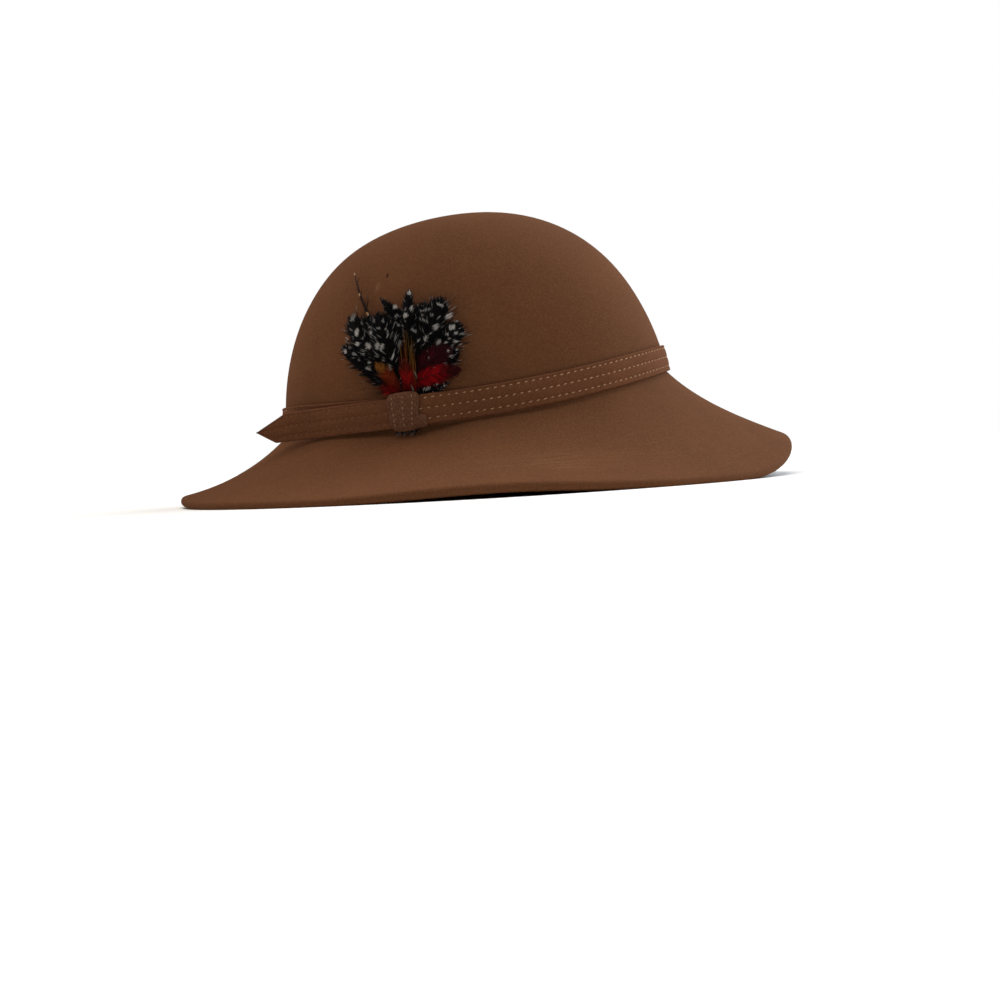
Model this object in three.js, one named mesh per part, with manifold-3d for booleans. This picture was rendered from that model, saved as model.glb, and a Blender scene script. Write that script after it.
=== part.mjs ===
// A cloche hat of wool felt, standing on its brim: a round crown and a bell-shaped brim blocked from one piece of
// felt, a stitched felt strap drawn round the crown like a belt, the loop that keeps the strap's end, and a plume of
// small feathers tucked in behind the loop.
// Millimetres, +Z up, the hat's front faces -Y and the wearer's right is -X. The brim stands on Z = 0.
// Places round the hat are given as a turn in degrees: 0 at the front, 90 at the wearer's right, 180 at the back.
import * as THREE from "three";
import { mergeVertices } from "three/addons/utils/BufferGeometryUtils.js";
import Module from "manifold-3d";

const wasm = await Module();
wasm.setup();

// Felt of the body
const feltWall = 2.2;
const roundSteps = 64;

// Crown, measured outside, above the line where it meets the brim. Its upright section is r^wallPower + h^topPower = 1
const crown = {
  halfLength: 100,
  halfWidth: 84,
  height: 96,
  wallPower: 2.62,
  topPower: 1.76,
  lineHeight: 45,
  lineTilt: 6.5,
  lineDip: 10,
  setBack: 3.6,
};
const crownRows = 11;

// Brim, measured over its rolled edge, with the edge turned under as a hem
const brim = { halfLength: 157, halfWidth: 136, hemWidth: 11 };
const brimRows = 8;
const rimRows = 5;
const hemRows = 3;
const underRows = 6;
const rimRadius = feltWall;
const rimStart = { inset: 0.7 * rimRadius, rise: 1.95 * rimRadius }; // from the outline, and above the lift

// Upright sections of the brim, the same on both sides. lift is the edge above the table, and where it is below zero
// the felt is pressed flat. The section bends at bendOut of its run, where it has lost bendDown of its height.
const brimSections = [
  { turn: 0, lift: 17.5, bendOut: 0.3, bendDown: 0.52 },
  { turn: 48, lift: -0.9, bendOut: 0.31, bendDown: 0.56 },
  { turn: 62, lift: -0.9, bendOut: 0.32, bendDown: 0.58 },
  { turn: 92, lift: 1.8, bendOut: 0.33, bendDown: 0.61 },
  { turn: 122, lift: -0.9, bendOut: 0.35, bendDown: 0.66 },
  { turn: 146, lift: -0.9, bendOut: 0.37, bendDown: 0.71 },
  { turn: 180, lift: 1.8, bendOut: 0.38, bendDown: 0.75 },
];

// Strap: once round the crown, then on through the loop to a pointed free end that stands straight off the crown
const seat = 0.3;
const strap = {
  width: 13.2,
  thickness: 1.6,
  lowEdge: 0.2,
  starts: 118,
  climbs: 455,
  onTop: 466,
  leaves: 494,
  tail: 52,
  point: 15,
  pointAt: 0.46,
  tipShare: 0.03,
  sag: 4.2,
  sagPower: 1.5,
};
const strapTurnSteps = 94;
const strapTailSteps = 8;

// Loop that keeps the strap, a flat ring of felt round it
const keeper = { from: 107.6, to: 116.2, wall: 1.6, backWall: 0.8, corner: 1.2, heel: 2.6 };
const keeperSteps = 5;

// Plume: feathers laid on the crown from one flat bundle of quills that goes down behind the loop
const quills = { turn: 111.9, width: 9, low: 5, high: 17, thickness: 0.7 };
const bladeThickness = 0.8;
const shaftWidth = 1.1;
const bladeSteps = { along: 7, across: 2 };
const quillSteps = { across: 3, up: 4 };
const vaneOpens = 0.12; // share of a feather that is bare quill
const lifting = { from: 0.1, to: 0.9 }; // shares of a feather between which it leaves the crown

// Each feather's tip as a distance along the crown from the quills, towards the front, and a height above the brim
// line, with its greatest width, how far its tip stands off the crown, and where along it is widest
const feathers = [
  { name: "spotted low left", side: -30, up: 38, width: 12, lift: 3.0, widest: 0.72 },
  { name: "spotted left", side: -27, up: 50, width: 14, lift: 4.2, widest: 0.72 },
  { name: "spotted middle", side: -13, up: 54, width: 13, lift: 5.2, widest: 0.7 },
  { name: "spotted arrow", side: -8, up: 58, width: 7, lift: 3.8, widest: 0.62 },
  { name: "spotted top", side: 6, up: 60, width: 7.5, lift: 4.4, widest: 0.66 },
  { name: "spotted right high", side: 22, up: 53.5, width: 16, lift: 3.8, widest: 0.72 },
  { name: "spotted right", side: 29.5, up: 41, width: 13, lift: 3.2, widest: 0.72 },
  { name: "spotted right low", side: 26, up: 31, width: 9, lift: 2.6, widest: 0.7 },
  { name: "spotted small", side: 18, up: 19.5, width: 4.4, lift: 3.2, widest: 0.7 },
  { name: "wine", side: 22, up: 34, width: 11, lift: 4.4, widest: 0.65 },
  { name: "red", side: 27, up: 23.5, width: 8.5, lift: 5.2, widest: 0.6 },
  { name: "gold", side: 2, up: 44, width: 7, lift: 6.2, widest: 0.7 },
  { name: "orange", side: -10, up: 28, width: 6, lift: 5.4, widest: 0.6 },
  { name: "red left", side: -9, up: 20.5, width: 4.6, lift: 4.2, widest: 0.6 },
  { name: "bare quill", side: -30, up: 71, width: 1.4, lift: 3.2, widest: 0.3 },
];

const radians = THREE.MathUtils.degToRad;
const { lerp, smoothstep, clamp } = THREE.MathUtils;
const tilt = radians(crown.lineTilt);

// A point given across, behind and above the middle of the line where crown and brim meet
function fromCrownFrame(across, behind, above) {
  const y = crown.setBack + behind * Math.cos(tilt) + above * Math.sin(tilt);
  const z = crown.lineHeight - behind * Math.sin(tilt) + above * Math.cos(tilt);
  return new THREE.Vector3(across, y, z);
}

const dipAt = (turn) => crown.lineDip * Math.sin(radians(turn)) ** 2;

// Outside of the crown at a share of its width and of its height over the line
function crownPoint(turn, spread, share) {
  const dip = dipAt(turn);
  const across = -crown.halfWidth * spread * Math.sin(radians(turn));
  const behind = -crown.halfLength * spread * Math.cos(radians(turn));
  return fromCrownFrame(across, behind, share * (crown.height + dip) - dip);
}

// The brim's section at a turn, eased between the rows of the table
function brimSection(turn) {
  const folded = Math.abs((((turn % 360) + 540) % 360) - 180);
  const next = Math.max(1, brimSections.findIndex((row) => row.turn >= folded));
  const [a, b] = [brimSections[next - 1], brimSections[next]];
  const ease = smoothstep(folded, a.turn, b.turn);
  const at = (key) => lerp(a[key], b[key], ease);
  return { lift: at("lift"), bendOut: at("bendOut"), bendDown: at("bendDown") };
}

// Upper side of the brim from the crown, share 0, to the start of its rolled edge, share 1
function brimPoint(turn, share) {
  const section = brimSection(turn);
  const inner = crownPoint(turn, 1, 0);
  const rim = (half) => half - rimStart.inset;
  const x = -rim(brim.halfWidth) * Math.sin(radians(turn));
  const y = -rim(brim.halfLength) * Math.cos(radians(turn));
  const outer = new THREE.Vector3(x, y, section.lift + rimStart.rise);
  const bend = inner.clone().lerp(outer, section.bendOut);
  bend.z = lerp(inner.z, outer.z, section.bendDown);
  return new THREE.QuadraticBezierCurve3(inner, bend, outer).getPoint(share);
}

// Outside of the whole body: stage 0 is the crown's top, 1 the line under the strap and 2 the brim's edge
function skin(turn, stage) {
  if (stage > 1) return brimPoint(turn, stage - 1);
  const rise = radians(90 * (1 - stage));
  const spread = Math.max(0, Math.cos(rise)) ** (2 / crown.wallPower);
  return crownPoint(turn, spread, Math.sin(rise) ** (2 / crown.topPower));
}

const slope = { turn: 0.5, stage: 0.004 };

function skinNormal(turn, stage) {
  if (stage < slope.stage) return fromCrownFrame(0, 0, 1).sub(fromCrownFrame(0, 0, 0));
  const round = skin(turn + slope.turn, stage).sub(skin(turn - slope.turn, stage));
  const below = Math.min(2, stage + slope.stage);
  const down = skin(turn, below).sub(skin(turn, stage - slope.stage));
  return round.cross(down).normalize();
}

const underSkin = (turn, stage, depth) => skin(turn, stage).addScaledVector(skinNormal(turn, stage), -depth);

// The rolled edge: a half circle from the brim's upper side to its hem
function rimPoint(turn, roll) {
  const normal = skinNormal(turn, 2);
  const outward = skin(turn, 2).sub(skin(turn, 2 - slope.stage)).normalize();
  const middle = skin(turn, 2).addScaledVector(normal, -rimRadius);
  middle.addScaledVector(normal, rimRadius * Math.cos(roll));
  return middle.addScaledVector(outward, rimRadius * Math.sin(roll));
}

const hemStage = (turn) => 2 - brim.hemWidth / skin(turn, 1).distanceTo(skin(turn, 2));

// Rows of the body from the top of the crown, over the rolled edge, under the hem and up inside to the top again
function bodyRows() {
  const stages = (from, to, count) => Array.from({ length: count }, (_, i) => lerp(from, to, i / count));
  const rows = [];
  for (const k of stages(0, 1, crownRows)) rows.push((turn) => skin(turn, k));
  for (const k of stages(1, 2, brimRows)) rows.push((turn) => skin(turn, k));
  for (const k of stages(0, Math.PI, rimRows)) rows.push((turn) => rimPoint(turn, k));
  for (const k of stages(0, 1, hemRows)) {
    rows.push((turn) => underSkin(turn, lerp(2, hemStage(turn), k), 2 * feltWall));
  }
  rows.push((turn) => underSkin(turn, hemStage(turn), 2 * feltWall));
  for (const k of stages(0, 1, underRows)) {
    rows.push((turn) => underSkin(turn, lerp(hemStage(turn), 1, k), feltWall));
  }
  for (const k of stages(1, 0, crownRows)) rows.push((turn) => underSkin(turn, k, feltWall));
  rows.push((turn) => underSkin(turn, 0, feltWall));
  return rows;
}

// The felt body: a turned grid whose rows take their places from the skin, pressed flat where it meets the table
function feltBody() {
  const rows = bodyRows();
  const grid = new THREE.LatheGeometry(rows.map((_, i) => new THREE.Vector2(i + 1, i)), roundSteps);
  const place = grid.attributes.position;
  for (let i = 0; i < place.count; i += 1) {
    const turn = (360 * (Math.floor(i / rows.length) % roundSteps)) / roundSteps;
    const point = rows[i % rows.length](turn);
    place.setXYZ(i, point.x, point.y, Math.max(0, point.z));
  }
  return grid;
}

// A point on or off the crown's outside, at a height above the brim line
function onCrown(turn, rise, off) {
  const at = (t, r) => {
    const share = r / (crown.height + dipAt(t));
    const spread = (1 - Math.max(0, share) ** crown.topPower) ** (1 / crown.wallPower);
    return crownPoint(t, spread, share);
  };
  const round = at(turn + slope.turn, rise).sub(at(turn - slope.turn, rise));
  const up = at(turn, rise + slope.turn).sub(at(turn, rise - slope.turn));
  return at(turn, rise).addScaledVector(up.cross(round).normalize(), off);
}

// Moves every vertex of a geometry to the place that a function gives for its old one
function reshape(geometry, placeOf) {
  const place = geometry.attributes.position;
  for (let i = 0; i < place.count; i += 1) {
    place.setXYZ(i, ...placeOf(place.getX(i), place.getY(i), place.getZ(i)).toArray());
  }
  return geometry;
}

// How far the strap's inner face stands off the crown: on it, then over the loop's back and the strap's own start
const strapOver = seat + quills.thickness + seat + keeper.backWall + seat;
const strapOff = (turn) => lerp(seat, strapOver, smoothstep(turn, strap.climbs, strap.onTop));

// How far the strap has sunk below its line, more and more from where it climbs to its free tip
function strapSag(turn, beyond) {
  const past = Math.max(0, turn - strap.climbs) / degreesPerMm + beyond;
  const whole = (strap.leaves - strap.climbs) / degreesPerMm + strap.tail;
  return strap.sag * (past / whole) ** strap.sagPower;
}

function strapPoint(turn, beyond, rise, depth) {
  const off = strapOff(turn) + depth;
  const point = onCrown(turn, rise, off);
  const ahead = onCrown(turn + slope.turn, rise, off).sub(point).normalize();
  return point.addScaledVector(ahead, beyond);
}

function strapGeometry() {
  const steps = strapTurnSteps + strapTailSteps;
  const box = new THREE.BoxGeometry(steps, 1, 1, steps, 2, 1);
  return reshape(box, (x, y, z) => {
    const step = x + steps / 2;
    const turn = lerp(strap.starts, strap.leaves, Math.min(1, step / strapTurnSteps));
    const beyond = (Math.max(0, step - strapTurnSteps) / strapTailSteps) * strap.tail;
    const narrow = clamp((strap.tail - beyond) / strap.point, strap.tipShare, 1);
    const across = lerp(strap.pointAt, y + 0.5, narrow);
    const rise = strap.lowEdge + across * strap.width - strapSag(turn, beyond);
    return strapPoint(turn, beyond, rise, (0.5 - z) * strap.thickness);
  });
}

// A rectangle with rounded corners as a path of a shape, the low left one with a size of its own
function rectangle(path, left, low, right, high, corner, heel) {
  path.moveTo(left + heel, low);
  path.lineTo(right - corner, low);
  path.quadraticCurveTo(right, low, right, low + corner);
  path.lineTo(right, high - corner);
  path.quadraticCurveTo(right, high, right - corner, high);
  path.lineTo(left + corner, high);
  path.quadraticCurveTo(left, high, left, high - corner);
  path.lineTo(left, low + heel);
  path.quadraticCurveTo(left, low, left + heel, low);
  return path;
}

// The loop's section is drawn off the crown and up it, then swept along the strap
function keeperGeometry() {
  const inside = strapOff(strap.onTop) - seat;
  const outside = inside + strap.thickness + 2 * seat;
  const low = strap.lowEdge - seat;
  const high = strap.lowEdge + strap.width + seat;
  const { wall, backWall, corner, heel } = keeper;
  const ring = new THREE.Shape();
  rectangle(ring, inside - backWall, low - wall, outside + wall, high + wall, corner, heel);
  ring.holes.push(rectangle(new THREE.Path(), inside, low, outside, high, seat, seat));
  const sweep = { depth: 1, steps: keeperSteps, bevelEnabled: false, curveSegments: 3 };
  const loop = new THREE.ExtrudeGeometry(ring, sweep);
  return reshape(loop, (off, rise, share) => {
    const turn = lerp(keeper.from, keeper.to, share);
    return onCrown(turn, rise - strapSag(turn + 360, 0), off);
  });
}

// A place on the crown given along it from the quills, towards the front, and up from the brim line
const degreesPerMm = 1 / (radians(1) * Math.hypot(
  crown.halfLength * Math.sin(radians(quills.turn)),
  crown.halfWidth * Math.cos(radians(quills.turn)),
));
const besideQuills = (side, up, off) => onCrown(quills.turn - side * degreesPerMm, up, off);

// A feather's outline: a quill that opens into a vane and closes at a blunt tip
function vaneWidth(along, { width, widest }) {
  const open = smoothstep(along, vaneOpens, widest);
  const close = Math.sqrt(Math.max(0, 1 - Math.max(0, (along - widest) / (1 - widest)) ** 2));
  return Math.max(shaftWidth, width * open * close);
}

function bladeGeometry(feather) {
  const { side, up, lift } = feather;
  const box = new THREE.BoxGeometry(1, 1, 1, bladeSteps.along, bladeSteps.across, 1);
  const reach = Math.hypot(side, up - quills.high);
  const out = new THREE.Vector2(side / reach, (up - quills.high) / reach);
  return reshape(box, (x, y, z) => {
    const along = x + 0.5;
    const aside = y * vaneWidth(along, feather);
    const s = out.x * reach * along - out.y * aside;
    const r = quills.high + out.y * reach * along + out.x * aside;
    const bow = lift * smoothstep(along, lifting.from, lifting.to);
    return besideQuills(s, r, seat + bladeThickness * (0.5 + z) + bow);
  });
}

function quillGeometry() {
  const box = new THREE.BoxGeometry(1, 1, 1, quillSteps.across, quillSteps.up, 1);
  return reshape(box, (x, y, z) => {
    const up = lerp(quills.low, quills.high + 2 * seat, y + 0.5);
    return besideQuills(x * quills.width, up, seat + quills.thickness * (0.5 + z));
  });
}

const mergeWithin = 1e-3;

// Joins closed geometries into one
function join(geometries) {
  const solids = geometries.map((geometry) => {
    const bare = geometry.clone();
    bare.deleteAttribute("normal");
    bare.deleteAttribute("uv");
    const merged = mergeVertices(bare, mergeWithin);
    const vertProperties = merged.attributes.position.array;
    const triVerts = new Uint32Array(merged.index.array);
    return new wasm.Manifold(new wasm.Mesh({ numProp: 3, vertProperties, triVerts }));
  });
  const mesh = solids.reduce((all, next) => all.add(next)).getMesh();
  const joined = new THREE.BufferGeometry();
  joined.setAttribute("position", new THREE.BufferAttribute(mesh.vertProperties, 3));
  joined.setIndex(new THREE.BufferAttribute(mesh.triVerts, 1));
  return joined;
}

const felt = { roughness: 0.95, metalness: 0 };
const finishes = {
  felt: new THREE.MeshStandardMaterial({ color: "#6a4732", ...felt }),
  strapFelt: new THREE.MeshStandardMaterial({ color: "#634029", ...felt }),
  keeperFelt: new THREE.MeshStandardMaterial({ color: "#5d3d2a", ...felt }),
  feather: new THREE.MeshStandardMaterial({ color: "#221a1c", roughness: 0.6, metalness: 0 }),
};

const hat = new THREE.Group();
function addPiece(name, geometry, material) {
  geometry.computeVertexNormals();
  const piece = new THREE.Mesh(geometry, material);
  piece.name = name;
  hat.add(piece);
}
addPiece("felt_body", feltBody(), finishes.felt);
addPiece("strap_band", strapGeometry(), finishes.strapFelt);
addPiece("strap_keeper", keeperGeometry(), finishes.keeperFelt);
addPiece("feather_plume", join([quillGeometry(), ...feathers.map(bladeGeometry)]), finishes.feather);

export default hat;
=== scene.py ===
import math
import random

import bmesh
import bpy
from mathutils import Matrix, Vector, noise


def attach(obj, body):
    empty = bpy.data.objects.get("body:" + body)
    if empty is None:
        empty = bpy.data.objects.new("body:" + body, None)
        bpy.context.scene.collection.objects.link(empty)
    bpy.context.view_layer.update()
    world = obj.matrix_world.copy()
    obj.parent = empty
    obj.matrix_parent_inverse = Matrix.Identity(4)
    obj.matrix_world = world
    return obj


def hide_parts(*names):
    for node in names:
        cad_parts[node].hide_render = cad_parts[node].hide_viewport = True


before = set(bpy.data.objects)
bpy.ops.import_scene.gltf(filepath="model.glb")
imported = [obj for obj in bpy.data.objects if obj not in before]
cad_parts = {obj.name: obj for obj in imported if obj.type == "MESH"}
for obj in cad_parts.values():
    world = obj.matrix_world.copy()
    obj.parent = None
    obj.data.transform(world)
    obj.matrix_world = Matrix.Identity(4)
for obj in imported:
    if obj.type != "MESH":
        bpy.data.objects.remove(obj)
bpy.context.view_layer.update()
print("frame loaded:", ", ".join(sorted(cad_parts)))
mm = 0.001  # sizes below are in millimetres, meshes are in metres
rng = random.Random(7)

# A place round the hat is a turn in degrees: 0 front, 90 the plume's side, 180 back
crown = {
    "halfLength": 100, "halfWidth": 84, "height": 96,  # outside, above the line under the strap
    "wallPower": 2.62, "topPower": 1.76,  # upright section: spread^wallPower + share^topPower = 1
    "lineHeight": 45, "lineTilt": 6.5, "lineDip": 10, "setBack": 3.6,
}
brim = {
    "halfLength": 157, "halfWidth": 136, "hemWidth": 11, "wall": 2.2, "rimRadius": 2.2,
    "rimInset": 0.7, "rimRise": 1.95,  # where the rolled edge starts, in rim radii
}
brimSections = [  # turn, edge above the floor, share of the run where it bends, share of the drop there
    (0, 17.5, 0.30, 0.52), (48, -0.9, 0.31, 0.56), (62, -0.9, 0.32, 0.58), (92, 1.8, 0.33, 0.61),
    (122, -0.9, 0.35, 0.66), (146, -0.9, 0.37, 0.71), (180, 1.8, 0.38, 0.75),
]
tilt = math.radians(crown["lineTilt"])
nearby = 0.5  # degrees or millimetres to the points that give a surface's slope
nearbyStage = 0.004


def mix(a, b, share):
    return a + (b - a) * share


def ease(x, low, high):
    share = min(1, max(0, (x - low) / (high - low)))
    return share * share * (3 - 2 * share)


def fromCrownFrame(across, behind, above):
    y = crown["setBack"] + behind * math.cos(tilt) + above * math.sin(tilt)
    z = crown["lineHeight"] - behind * math.sin(tilt) + above * math.cos(tilt)
    return Vector((across, y, z))


def dipAt(turn):
    return crown["lineDip"] * math.sin(math.radians(turn)) ** 2


def crownPoint(turn, spread, share):
    dip = dipAt(turn)
    across = -crown["halfWidth"] * spread * math.sin(math.radians(turn))
    behind = -crown["halfLength"] * spread * math.cos(math.radians(turn))
    return fromCrownFrame(across, behind, share * (crown["height"] + dip) - dip)


def brimSection(turn):
    folded = abs((turn + 180) % 360 - 180)
    for a, b in zip(brimSections, brimSections[1:]):
        if folded <= b[0]:
            share = ease(folded, a[0], b[0])
            return [mix(p, q, share) for p, q in zip(a[1:], b[1:])]


def brimPoint(turn, share):
    lift, bendOut, bendDown = brimSection(turn)
    inset = brim["rimInset"] * brim["rimRadius"]
    inner = crownPoint(turn, 1, 0)
    x = -(brim["halfWidth"] - inset) * math.sin(math.radians(turn))
    y = -(brim["halfLength"] - inset) * math.cos(math.radians(turn))
    outer = Vector((x, y, lift + brim["rimRise"] * brim["rimRadius"]))
    bend = inner.lerp(outer, bendOut)
    bend.z = mix(inner.z, outer.z, bendDown)
    return inner.lerp(bend, share).lerp(bend.lerp(outer, share), share)


def skin(turn, stage):  # 0 crown's top, 1 line under the strap, 2 brim's edge
    if stage > 1:
        return brimPoint(turn, stage - 1)
    rise = math.radians(90 * (1 - stage))
    spread = max(0, math.cos(rise)) ** (2 / crown["wallPower"])
    return crownPoint(turn, spread, math.sin(rise) ** (2 / crown["topPower"]))


def skinNormal(turn, stage):
    if stage < nearbyStage:
        return fromCrownFrame(0, 0, 1) - fromCrownFrame(0, 0, 0)
    around = skin(turn + nearby, stage) - skin(turn - nearby, stage)
    down = skin(turn, min(2, stage + nearbyStage)) - skin(turn, stage - nearbyStage)
    return around.cross(down).normalized()


def onCrown(turn, rise, off):  # point off the crown's outside at a height over the line, and the way out
    def at(t, r):
        share = r / (crown["height"] + dipAt(t))
        spread = (1 - max(0, share) ** crown["topPower"]) ** (1 / crown["wallPower"])
        return crownPoint(t, spread, share)
    around = at(turn + nearby, rise) - at(turn - nearby, rise)
    up = at(turn, rise + nearby) - at(turn, rise - nearby)
    out = up.cross(around).normalized()
    return at(turn, rise) + out * off, out


def linear(hexColour):
    parts = [int(hexColour[i:i + 2], 16) / 255 for i in (1, 3, 5)]
    return [c / 12.92 if c <= 0.04045 else ((c + 0.055) / 1.055) ** 2.4 for c in parts] + [1]


def addNode(tree, kind, inputs=None, **settings):
    made = tree.nodes.new("ShaderNode" + kind)
    for key, value in settings.items():
        setattr(made, key, value)
    for key, value in (inputs or {}).items():
        if isinstance(value, bpy.types.NodeSocket):
            tree.links.new(value, made.inputs[key])
        else:
            made.inputs[key].default_value = value
    return made


colourA, colourB, mixed = 6, 7, 2  # the sockets that a Mix node uses for colours


def newMaterial(name):
    material = bpy.data.materials.new(name)
    material.use_nodes = True
    material.node_tree.nodes.clear()
    return material, material.node_tree


def finishMaterial(tree, shader):
    addNode(tree, "OutputMaterial", {"Surface": shader.outputs["BSDF"]})


def addPiece(name, mesh, material, replaced=None):
    piece = bpy.data.objects.new(name, mesh)
    bpy.context.scene.collection.objects.link(piece)
    mesh.materials.clear()
    mesh.materials.append(material)
    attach(piece, "root")
    if replaced:
        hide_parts(replaced)
    print(name, len(mesh.polygons), "faces")


def meshFrom(bm, name):
    if bm.calc_volume(signed=True) < 0:
        bmesh.ops.reverse_faces(bm, faces=bm.faces)
    for face in bm.faces:
        face.smooth = True
    mesh = bpy.data.meshes.new(name)
    bm.to_mesh(mesh)
    bm.free()
    return mesh


def closedRing(bm, points):  # vertices and edges of one closed outline
    ring = [bm.verts.new(point) for point in points]
    edges = [bm.edges.new(pair) for pair in zip(ring, ring[1:] + ring[:1])]
    return ring + edges


# Wool felt, blocked and brushed: matt, a short nap that catches light at grazing angles, faintly mottled
# The grain is drawn as coarse as it needs to show
feltLook = {
    "cloud": 28, "hairLength": 5, "hairHeight": 0.7,  # mottling, and hairs brushed flat round the hat
    "flecks": (0.42, 0.75), "hairs": (0.5, 0.72), "hairStrength": 0.35, "bump": 0.3, "bumpDepth": 0.25,
    "roughness": 0.95, "specular": 0.06, "sheen": 0.08, "sheenRoughness": 0.55,
}
mapRound = 690  # length of the felt's own map round the hat; across, it runs from the crown's top outwards


def addWear(tree, tint, mark):  # one mark, at its place on the felt's own map, which is in millimetres
    uv = addNode(tree, "UVMap", uv_map="felt").outputs[0]
    wide, tall = mark["size"]
    centre = (-(mark["turn"] / 360 * mapRound) / wide, -mark["down"] / tall, 0)
    near = addNode(tree, "Mapping", {"Vector": uv, "Scale": (1 / wide, 1 / tall, 1), "Location": centre})
    distance = addNode(tree, "VectorMath", {0: near.outputs[0]}, operation="LENGTH")
    inside = addNode(tree, "MapRange", {
        "Value": distance.outputs["Value"], "From Min": 1, "From Max": mark["soft"],
        "To Max": mark["strength"],
    })
    along, across = mark["line"]
    linePlace = addNode(tree, "Mapping", {"Vector": uv, "Scale": (1 / along, 1 / across, 1)})
    lines = addNode(tree, "TexNoise", {
        "Vector": linePlace.outputs[0], "Scale": 1, "Detail": 3,
    }, noise_dimensions="2D")
    low, high = mark["broken"]
    broken = addNode(tree, "MapRange", {"Value": lines.outputs["Fac"], "From Min": low, "From Max": high})
    amount = addNode(tree, "Math", {0: inside.outputs[0], 1: broken.outputs[0]}, operation="MULTIPLY")
    worn = addNode(tree, "Mix", {
        "Factor": amount.outputs[0], colourA: tint, colourB: linear(mark["colour"]),
    }, data_type="RGBA")
    return worn.outputs[mixed]


def woolFelt(name, deep, middle, light, grainSize, nap, wear=()):
    material, tree = newMaterial(name)
    place = addNode(tree, "TexCoord").outputs["Object"]
    cloud = addNode(tree, "TexNoise", {"Vector": place, "Scale": 1 / (feltLook["cloud"] * mm), "Detail": 3})
    grain = addNode(tree, "TexNoise", {
        "Vector": place, "Scale": 1 / (grainSize * mm), "Detail": 4, "Roughness": 0.65,
    })
    level = 1 / (feltLook["hairLength"] * mm)
    upright = 1 / (feltLook["hairHeight"] * mm)
    hairPlace = addNode(tree, "Mapping", {"Vector": place, "Scale": (level, level, upright)})
    hair = addNode(tree, "TexNoise", {
        "Vector": hairPlace.outputs[0], "Scale": 1, "Detail": 2, "Distortion": 1.5,
    })
    tone = addNode(tree, "Mix", {
        "Factor": cloud.outputs["Fac"], colourA: linear(deep), colourB: linear(middle),
    }, data_type="RGBA")
    low, high = feltLook["flecks"]
    flecks = addNode(tree, "MapRange", {
        "Value": grain.outputs["Fac"], "From Min": low, "From Max": high, "To Max": nap,
    })
    nappy = addNode(tree, "Mix", {
        "Factor": flecks.outputs[0], colourA: tone.outputs[mixed], colourB: linear(light),
    }, data_type="RGBA")
    low, high = feltLook["hairs"]
    hairs = addNode(tree, "MapRange", {
        "Value": hair.outputs["Fac"], "From Min": low, "From Max": high, "To Max": feltLook["hairStrength"],
    })
    brushed = addNode(tree, "Mix", {
        "Factor": hairs.outputs[0], colourA: nappy.outputs[mixed], colourB: linear(deep),
    }, data_type="RGBA")
    tint = brushed.outputs[mixed]
    for mark in wear:
        tint = addWear(tree, tint, mark)
    height = addNode(tree, "Math", {0: grain.outputs["Fac"], 1: hair.outputs["Fac"]}, operation="ADD")
    bump = addNode(tree, "Bump", {
        "Height": height.outputs[0], "Strength": feltLook["bump"], "Distance": feltLook["bumpDepth"] * mm,
    })
    finishMaterial(tree, addNode(tree, "BsdfPrincipled", {
        "Base Color": tint, "Normal": bump.outputs[0], "Roughness": feltLook["roughness"],
        "Specular IOR Level": feltLook["specular"], "Sheen Weight": feltLook["sheen"],
        "Sheen Roughness": feltLook["sheenRoughness"], "Sheen Tint": linear(light),
    }))
    return material


# Felt body: crown, brim and hem in one
bodyLook = {
    "steps": 224, "crownRows": 40, "brimRows": 26, "rimRows": 10, "hemRows": 6, "underRows": 22,
    "innerRows": 30, "mergeWithin": 0.01,
    "wander": 0.45, "wanderSize": 45,  # how far hand-blocked felt strays from the block, over what distance
}
feltWear = [  # rubbed lines on the brim's side, and a speck and a smudge on the crown
    {"turn": 81, "down": 191, "size": (32, 12), "soft": 0.25, "line": (28, 0.4),
     "broken": (0.54, 0.7), "strength": 0.26, "colour": "#a07c58"},
    {"turn": 58, "down": 186, "size": (26, 16), "soft": 0.2, "line": (20, 0.6),
     "broken": (0.53, 0.7), "strength": 0.14, "colour": "#946e4c"},
    {"turn": 118.1, "down": 76.6, "size": (1.1, 1.9), "soft": 0.4, "line": (1.5, 1.5),
     "broken": (0.1, 0.4), "strength": 0.9, "colour": "#1c0f0a"},
    {"turn": 121.2, "down": 82.4, "size": (2.6, 3.2), "soft": 0.3, "line": (2, 2),
     "broken": (0.3, 0.7), "strength": 0.4, "colour": "#8e6a4c"},
]


def strayed(point, normal):
    return point + normal * bodyLook["wander"] * noise.noise(point / bodyLook["wanderSize"])


def underSkin(turn, stage, depth):
    normal = skinNormal(turn, stage)
    return strayed(skin(turn, stage), normal) - normal * depth


def rimPoint(turn, roll):
    normal = skinNormal(turn, 2)
    outward = (skin(turn, 2) - skin(turn, 2 - nearbyStage)).normalized()
    middle = strayed(skin(turn, 2), normal) - normal * brim["rimRadius"]
    return middle + (normal * math.cos(roll) + outward * math.sin(roll)) * brim["rimRadius"]


def hemStage(turn):
    return 2 - brim["hemWidth"] / (skin(turn, 1) - skin(turn, 2)).length


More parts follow.
